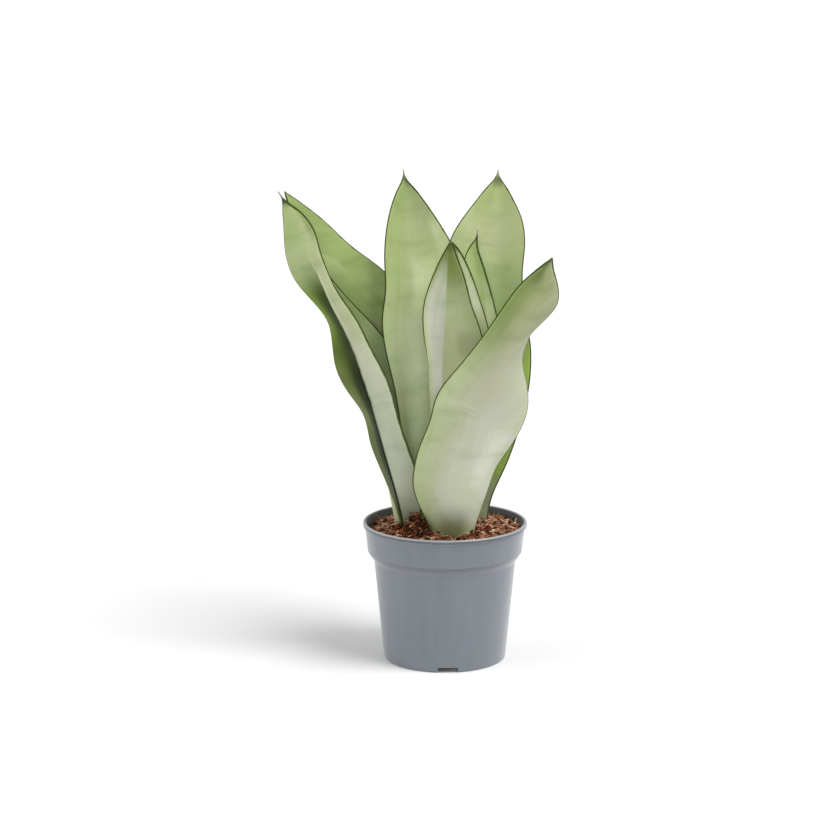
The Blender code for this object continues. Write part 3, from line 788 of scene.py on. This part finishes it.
def potMaterial():
    # Injection-moulded polypropylene with grey masterbatch: satin, with faint flow marks down the wall
    # and a spark-eroded grain, real at about 0.2 mm and drawn at 0.9 mm so that it shows. Soil has stained
    # the inside, and a little dust lies on it all. A painted highlight pales the top of the lip, and
    # painted shade darkens the wall under the lip and under the band.
    material, tree, shader = newMaterial("mouldedGreyPolypropylene")
    where = addNode(tree, "ShaderNodeTexCoord")
    place = where.outputs["Object"]
    grain = addNode(tree, "ShaderNodeTexNoise", inputs={"Scale": 1 / (0.9 * mm), "Detail": 2.0},
                    links={"Vector": place}).outputs[0]
    flowSize = (1 / (9 * mm), 1 / (9 * mm), 1 / (70 * mm))
    flowPlace = addNode(tree, "ShaderNodeMapping", inputs={"Scale": flowSize}, links={"Vector": place})
    flow = addNode(tree, "ShaderNodeTexNoise", inputs={"Scale": 1.0, "Detail": 4.0},
                   links={"Vector": flowPlace.outputs[0]}).outputs[0]
    body = addNode(tree, "ShaderNodeValToRGB", links={0: flow},
                   stops=[(0.30, "#62686F"), (0.50, "#656B72"), (0.72, "#686E75")])
    colour = paintOver(tree, body.outputs["Color"], "#9A9FA4", 0.07, [(grain, 0.35, 0.70)], easing="LINEAR")

    # The inside is where the surface faces the axis
    level = addNode(tree, "ShaderNodeVectorMath", {"operation": "MULTIPLY"}, {1: (1.0, 1.0, 0.0)}, {0: place})
    radial = addNode(tree, "ShaderNodeVectorMath", {"operation": "NORMALIZE"}, links={0: level.outputs[0]})
    outwards = addNode(tree, "ShaderNodeVectorMath", {"operation": "DOT_PRODUCT"},
                       links={0: radial.outputs[0], 1: where.outputs["Normal"]}).outputs["Value"]
    colour = paintOver(tree, colour, "#3A3A33", 0.90, [(outwards, -0.2, -0.7)], easing="LINEAR")

    # Painted shade under the band and under the lip, and a painted highlight on the lip's top: colour,
    # strength, and the heights between which each fades in from below and from above
    height = addNode(tree, "ShaderNodeSeparateXYZ", links={0: place}).outputs["Z"]
    bandFoot, top = potSet["bandFoot"][1], potSet["height"]
    paintedShadeAndHighlight = (
        ("#4E5054", 0.55, (bandFoot - 4.5, bandFoot - 1.5), (bandFoot + 0.6, bandFoot - 0.4)),
        ("#3C3F43", 0.62, (top - 3.4, top - 2.3), (top - 0.7, top - 1.2)),
        ("#A6A6A6", 0.55, (top - 0.9, top - 0.4), (top + 2.0, top + 1.0)),
    )
    for code, strength, below, above in paintedShadeAndHighlight:
        ranges = [(height, low * mm, high * mm) for low, high in (below, above)]
        colour = paintOver(tree, colour, code, strength, ranges)
    tree.links.new(colour, shader.inputs["Base Color"])

    rough = addNode(tree, "ShaderNodeMapRange", inputs={1: 0.3, 2: 0.7, 3: 0.30, 4: 0.38}, links={0: flow})
    stained = addNode(tree, "ShaderNodeMapRange", inputs={1: -0.2, 2: -0.7, 3: 0.0, 4: 0.45},
                      links={0: outwards})
    dull = addNode(tree, "ShaderNodeMath", {"operation": "ADD"},
                   links={0: stained.outputs[0], 1: rough.outputs[0]})
    tree.links.new(dull.outputs[0], shader.inputs["Roughness"])
    shader.inputs["IOR"].default_value = 1.52
    shader.inputs["Sheen Weight"].default_value = 0.30   # dust
    shader.inputs["Sheen Roughness"].default_value = 0.40
    bump = addNode(tree, "ShaderNodeBump", inputs={"Strength": 0.3, "Distance": 0.03 * mm},
                   links={"Height": grain})
    tree.links.new(bump.outputs[0], shader.inputs["Normal"])
    return material


# Soil: a crumbly bed of coir and peat, with loose chips and fibres on it. Lengths are in mm.

soilSet = {
    "seed": 11,
    "topLevel": 93.0,      # faces above this that look upwards are the surface
    "cuts": 3,             # of each edge of the surface
    "crumbSize": 3.2,
    "crumbHeight": 1.7,
    "innerRadius": 56.2,   # of the pot, at the surface
    "wallFade": 4.0,       # heaps and hollows fade out this near the wall
    "wallGap": 0.4,        # and crumbs keep this far from it
    "leafClearance": 0.5,
    "triesPerBit": 30,
    # Heaps and hollows of the surface: centre, radius and height
    "forms": [(-22.5, -23.0, 6.5, 6.5), (6.0, -40.0, 15.0, -3.4), (44.0, 6.0, 12.0, 1.5)],
    # Where bits gather: centre and spread
    "spots": {
        "anywhere": [],
        "heap": [(-22.5, -23.0, 4.5), (-21.0, -30.0, 3.5)],
        "corner": [(-42.0, -14.0, 6.0)],
    },
    # Chips have a length, width and thickness, and fibres and strips a length, radius and curl
    "chips": [(6.5, 2.2, 1.0), (4.5, 2.0, 0.9), (3.4, 2.2, 1.2), (8.0, 1.8, 0.9), (5.0, 3.0, 1.1),
              (3.0, 1.6, 0.9)],
    "fibres": [(16, 0.24, 1.6), (22, 0.20, 2.6), (11, 0.26, 1.2), (14, 0.3, 1.9)],
    "strips": [(9, 0.55, 1.8), (12, 0.50, 2.4), (7, 0.65, 1.5), (10, 0.45, 2.6)],
    # Each layer: its bits, how many, its finish, how high they lie, how far they lean, their least and
    # greatest size, and where they are
    "layers": {
        "coirChips": ("chips", 560, "coirChip", 0.5, 0.35, (0.6, 1.3), "anywhere"),
        "coirStrips": ("strips", 460, "coirChip", 0.7, 0.30, (0.5, 1.0), "anywhere"),
        "coirFibres": ("fibres", 520, "coirFibre", 0.9, 0.22, (0.5, 1.1), "anywhere"),
        "paleChips": ("smallChips", 30, "paleBark", 1.0, 0.35, (0.4, 0.9), "anywhere"),
        # The heap and the left corner take dark damp coir, partly damp and partly painted shade where the
        # leaves overhang.
        "heapFibres": ("strands", 130, "dampCoirPaintedShade", 1.7, 0.5, (0.4, 0.8), "heap"),
        "heapChips": ("chips", 190, "dampCoirPaintedShade", 1.4, 0.6, (0.5, 1.0), "heap"),
        "dampChipsPaintedShade": ("mixed", 70, "dampCoirPaintedShade", 1.2, 0.3, (0.5, 1.0), "corner"),
    },
    # Colours from the darkest bits to the palest
    "finishes": {
        "peatAndCoir": [(0.10, "#140502"), (0.35, "#2A1007"), (0.60, "#4E2515"), (0.9, "#7A432C")],
        "coirChip": [(0.10, "#180703"), (0.34, "#3E1D0D"), (0.55, "#7E432A"), (0.77, "#B87A5B"),
                     (0.95, "#ECC9AC")],
        "coirFibre": [(0.1, "#5A3322"), (0.4, "#95664A"), (0.7, "#C39A7A"), (0.95, "#E2C4A6")],
        # Damp coir, darkened further as painted shade
        "dampCoirPaintedShade": [(0.10, "#0E0502"), (0.45, "#2A1408"), (0.70, "#4E2C17"), (0.88, "#8A6040"),
                     (0.98, "#C09872")],
        "paleBark": [(0.1, "#B98F6C"), (0.5, "#D9BE9C"), (0.9, "#EAD9BE")],
    },
}


def soilMaterial(name):
    # Coir, bark and peat: dry, matt, and each chip or fibre a little lighter or darker than the next
    material, tree, shader = newMaterial(name)
    where = addNode(tree, "ShaderNodeTexCoord").outputs["Object"]
    island = addNode(tree, "ShaderNodeNewGeometry").outputs["Random Per Island"]
    grain = addNode(tree, "ShaderNodeTexNoise", links={"Vector": where},
                    inputs={"Scale": 1 / (1.4 * mm), "Detail": 4.0, "Roughness": 0.65}).outputs[0]
    mottled = addNode(tree, "ShaderNodeMath", {"operation": "MULTIPLY_ADD"}, {1: 0.32, 2: -0.06}, {0: grain})
    total = addNode(tree, "ShaderNodeMath", {"operation": "MULTIPLY_ADD"}, {1: 0.80},
                    {0: island, 2: mottled.outputs[0]})
    colour = addNode(tree, "ShaderNodeValToRGB", links={0: total.outputs[0]}, stops=soilSet["finishes"][name])
    tree.links.new(colour.outputs["Color"], shader.inputs["Base Color"])
    shader.inputs["Roughness"].default_value = 0.9
    shader.inputs["Specular IOR Level"].default_value = 0.1
    bump = addNode(tree, "ShaderNodeBump", inputs={"Strength": 0.6, "Distance": 0.3 * mm},
                   links={"Height": grain})
    tree.links.new(bump.outputs[0], shader.inputs["Normal"])
    return material


def soilShift(x, y):
    # How far the surface lies above or below the plain solid's, in mm
    rise = sum(height * math.exp(-(math.hypot(x - middleX, y - middleY) / radius)**2)
               for middleX, middleY, radius, height in soilSet["forms"])
    fromWall = soilSet["innerRadius"] - math.hypot(x, y)
    return rise * min(1.0, max(0.0, fromWall / soilSet["wallFade"]))


def makeSoilBed():
    bed = copyOfNode("soil", "soilBed")
    bpy.ops.object.mode_set(mode="EDIT")
    bpy.ops.mesh.select_all(action="DESELECT")
    bpy.ops.object.mode_set(mode="OBJECT")
    for face in bed.data.polygons:
        face.select = face.center.z > soilSet["topLevel"] * mm and face.normal.z > 0.3
    bpy.ops.object.mode_set(mode="EDIT")
    bpy.ops.mesh.subdivide(number_cuts=soilSet["cuts"])
    bpy.ops.object.mode_set(mode="OBJECT")
    reach = (soilSet["innerRadius"] - soilSet["wallGap"]) * mm
    top = []
    for vertex in bed.data.vertices:
        if vertex.select:
            vertex.co.z += soilShift(vertex.co.x / mm, vertex.co.y / mm) * mm
            if math.hypot(vertex.co.x, vertex.co.y) < reach:
                top.append(vertex.index)
    surface = bed.vertex_groups.new(name="surface")
    surface.add(top, 1.0, "REPLACE")
    crumbs = bpy.data.textures.new("crumbs", "CLOUDS")
    crumbs.noise_scale = soilSet["crumbSize"] * mm
    crumbs.noise_depth = 3
    displace = bed.modifiers.new("crumbs", "DISPLACE")
    displace.texture = crumbs
    displace.direction = "Z"
    displace.strength = soilSet["crumbHeight"] * mm
    displace.mid_level = 0.5
    displace.vertex_group = "surface"
    applyModifiers(bed)
    bed.data.materials.append(soilMaterial("peatAndCoir"))
    settle(bed, "potting_soil", "soil")
    return bed


def chipTemplate(name, length, width, thick, draw):
    # A torn flake: a low cube cut into a few faces and pulled out of true
    bpy.ops.object.select_all(action="DESELECT")
    bpy.ops.mesh.primitive_cube_add(size=1.0)
    chip = bpy.context.active_object
    chip.name = name
    bpy.ops.object.mode_set(mode="EDIT")
    bpy.ops.mesh.subdivide(number_cuts=1)
    bpy.ops.object.mode_set(mode="OBJECT")
    for vertex in chip.data.vertices:
        taper = 1 - 0.5 * abs(vertex.co.x * 2) ** 1.5
        vertex.co.x *= length * draw.uniform(0.8, 1.15) * mm
        vertex.co.y *= width * taper * draw.uniform(0.6, 1.3) * mm
        vertex.co.z = (vertex.co.z * thick * taper * draw.uniform(0.5, 1.3) + draw.uniform(-0.25, 0.25)) * mm
    return chip


def fibreTemplate(name, length, radius, curl, draw):
    # A coir fibre: a thin tube with a loose bend, the sum of three waves
    bpy.ops.object.select_all(action="DESELECT")
    bpy.ops.mesh.primitive_cylinder_add(vertices=4, radius=radius * mm, depth=length * mm,
                                        rotation=(0, math.pi / 2, 0))
    fibre = bpy.context.active_object
    fibre.name = name
    bpy.ops.object.transform_apply(location=True, rotation=True, scale=True)
    bpy.ops.object.mode_set(mode="EDIT")
    for cut in (0.0, -0.36, -0.2, -0.08, 0.12, 0.26, 0.4):
        bpy.ops.mesh.select_all(action="SELECT")
        bpy.ops.mesh.bisect(plane_co=(cut * length * mm, 0, 0), plane_no=(1, 0, 0))
    bpy.ops.object.mode_set(mode="OBJECT")
    phase, second = draw.uniform(0, 6), draw.uniform(0, 6)
    for vertex in fibre.data.vertices:
        along = vertex.co.x / (length * mm)
        vertex.co.y += curl * math.sin(4.2 * along + phase) * mm
        vertex.co.z += 0.45 * curl * math.sin(5.1 * along + second) * mm
        vertex.co.y += 0.3 * curl * math.sin(11 * along + second) * mm
    return fibre


def makeBits(draw):
    # The templates of all bits, and the sets that the layers take them from
    bits = {}
    for kind, template in (("chips", chipTemplate), ("fibres", fibreTemplate), ("strips", fibreTemplate)):
        bits[kind] = [template(f"{kind}{i}", *sizes, draw) for i, sizes in enumerate(soilSet[kind])]
    templates = [piece for pieces in bits.values() for piece in pieces]
    bits["smallChips"] = bits["chips"][1:3]
    bits["strands"] = bits["strips"] + bits["fibres"]
    bits["mixed"] = bits["chips"] + bits["strips"]
    return bits, templates


def drawPlace(draw, spots):
    # A place on the soil in mm, near one of the spots, or anywhere
    if spots:
        centreX, centreY, spread = draw.choice(spots)
        return draw.gauss(centreX, spread), draw.gauss(centreY, spread)
    distance = soilSet["innerRadius"] * math.sqrt(draw.random())
    angle = draw.uniform(0, 2 * math.pi)
    return distance * math.cos(angle), distance * math.sin(angle)


def layBit(template, place, normal, turn, size, tilt, draw):
    # A copy of a bit, with its own mesh, that follows the slope under it and leans a little
    bit = template.copy()
    bit.data = template.data.copy()
    bpy.context.scene.collection.objects.link(bit)
    slope = Matrix()
    if normal.z > 0:
        slope = Vector((0, 0, 1)).rotation_difference(normal).to_matrix().to_4x4()
    lean = Matrix.Rotation(draw.gauss(0, tilt), 4, (math.cos(turn), math.sin(turn), 0))
    pitch = Matrix.Rotation(draw.gauss(0, tilt), 4, (-math.sin(turn), math.cos(turn), 0))
    laid = Matrix.Translation(place) @ slope @ pitch @ lean
    bit.data.transform(laid @ Matrix.Rotation(turn, 4, "Z") @ Matrix.Scale(size, 4))
    return bit


def scatter(pieceName, layer, bits, materials, draw, ground, leafTree):
    # Lays bits on the soil, clear of the leaves and the wall, and joins them to one piece
    kind, count, finish, lift, tilt, sizes, where = layer
    laid = []
    tries = 0
    while len(laid) < count and tries < count * soilSet["triesPerBit"]:
        tries += 1
        x, y = drawPlace(draw, soilSet["spots"][where])
        size = draw.uniform(*sizes)
        template = draw.choice(bits[kind])
        turn = draw.uniform(0, 2 * math.pi)
        reach = template.dimensions.x / mm / 2 * size * 0.9
        ends = [(x + reach * math.cos(turn) * k, y + reach * math.sin(turn) * k) for k in (-1, 0, 1)]
        if max(math.hypot(*end) for end in ends) > soilSet["innerRadius"]:
            continue
        hit, normal, _, _ = ground.ray_cast(Vector((x * mm, y * mm, 0.2)), Vector((0, 0, -1)))
        if hit is None:
            continue
        level = hit.z + lift * mm
        gaps = [leafTree.find_nearest(Vector((endX * mm, endY * mm, level)))[3] for endX, endY in ends]
        if min(gaps) > soilSet["leafClearance"] * mm:
            laid.append(layBit(template, (x * mm, y * mm, level), normal, turn, size, tilt, draw))
    bpy.ops.object.select_all(action="DESELECT")
    for bit in laid:
        bit.select_set(True)
    bpy.context.view_layer.objects.active = laid[0]
    bpy.ops.object.join()
    joined = bpy.context.active_object
    joined.name = pieceName
    joined.data.materials.clear()
    joined.data.materials.append(materials[finish])
    settle(joined, "potting_soil")
    return joined


def leafSolids():
    # The surfaces of all leaves' solids, to measure how near a bit lies
    points, faces = [], []
    for name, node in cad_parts.items():
        if name.startswith("leaf"):
            start = len(points)
            points += [v.co.copy() for v in node.data.vertices]
            faces += [[start + i for i in face.vertices] for face in node.data.polygons]
    return BVHTree.FromPolygons(points, faces)


def makeSoil():
    draw = random.Random(soilSet["seed"])
    bed = makeSoilBed()
    ground = BVHTree.FromObject(bed, bpy.context.evaluated_depsgraph_get())
    leafTree = leafSolids()
    bits, templates = makeBits(draw)
    finishes = dict.fromkeys(layer[2] for layer in soilSet["layers"].values())
    materials = {finish: soilMaterial(finish) for finish in finishes}
    pieces = [scatter(name, layer, bits, materials, draw, ground, leafTree)
              for name, layer in soilSet["layers"].items()]
    for template in templates:
        bpy.data.objects.remove(template, do_unlink=True)
    return [bed, *pieces]


makeCamera()
makeLights()
makeFloor()
print("camera, lights and floor made")
leaves = [makeLeaf(name, look) for name, look in leafLooks.items()]
print("leaves made:", len(leaves), "with", sum(len(leaf.data.polygons) for leaf in leaves), "faces")
pot = makePot()
print("pot made with", len(pot.data.polygons), "faces")
soilPieces = makeSoil()
print("soil made with", sum(len(piece.data.polygons) for piece in soilPieces), "faces")
